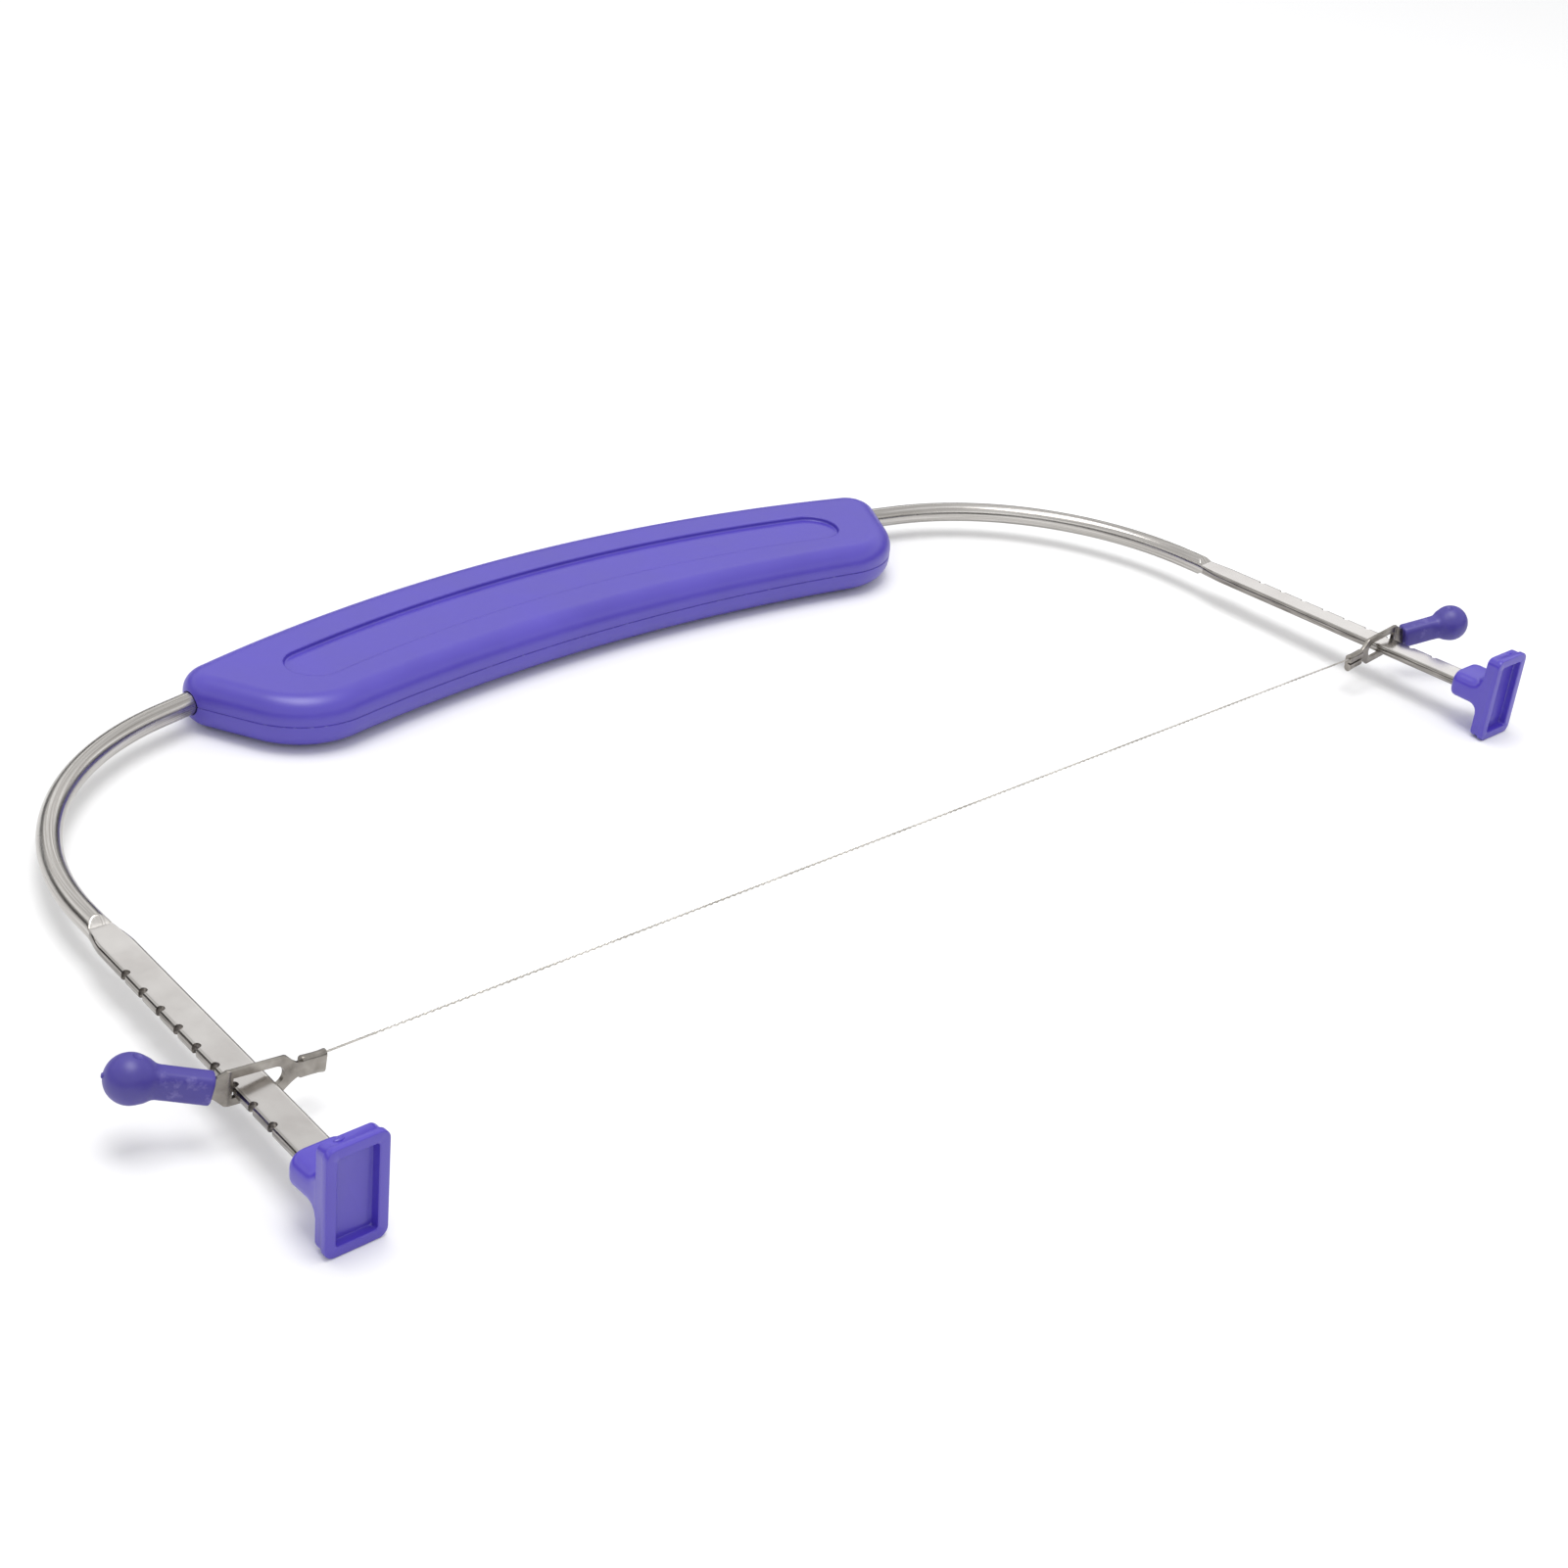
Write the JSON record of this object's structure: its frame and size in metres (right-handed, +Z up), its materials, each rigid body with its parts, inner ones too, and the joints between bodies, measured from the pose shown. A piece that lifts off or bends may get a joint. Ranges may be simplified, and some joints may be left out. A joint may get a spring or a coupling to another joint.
{
  "type": "cake leveler",
  "caption": "Wire cake leveler: a bent steel bow with notched flat legs, a curved grip, two feet, and a fine cutting wire held by two hooks with ball knobs.",
  "frame": {"origin": "on the surface it lies on, under the middle of its bounding box", "axes": "+X along the wire, +Y from the feet to the grip, +Z up from the surface it lies on"},
  "size_m": [0.3304, 0.1586, 0.0192],
  "materials": {
    "rod_steel": "polished stainless rod",
    "clip_steel": "rolled stainless sheet",
    "wire_steel": "bright drawn wire",
    "grip_plastic": "moulded, satin",
    "foot_plastic": "moulded, satin"
  },
  "bodies": {
    "bow": {"frame_rod": "rod_steel", "handle_top_shell": "grip_plastic", "handle_bottom_shell": "grip_plastic", "left_foot": "foot_plastic", "right_foot": "foot_plastic"},
    "left_hook": {"left_clip": "clip_steel", "left_knob": "foot_plastic"},
    "right_hook": {"right_clip": "clip_steel", "right_knob": "foot_plastic"},
    "wire": {"cutting_wire": "wire_steel"}
  },
  "joints": [
    {"name": "left_hook_height", "type": "slide", "parent": "bow", "child": "left_hook", "axis": [0.0628, 0.9976, -0.0281], "range_m": [-0.0116, 0.0464]},
    {"name": "right_hook_height", "type": "slide", "parent": "bow", "child": "right_hook", "axis": [-0.0628, 0.9976, -0.0281], "range_m": [-0.0116, 0.0464]},
    {"name": "wire_height", "type": "slide", "parent": "bow", "child": "wire", "axis": [0, 0.9996, -0.0281], "range_m": [-0.0116, 0.0464]}
  ],
  "couplings": [
    {"joint": "right_hook_height", "follows": "left_hook_height", "ratio": 1},
    {"joint": "wire_height", "follows": "left_hook_height", "ratio": 0.99803}
  ]
}
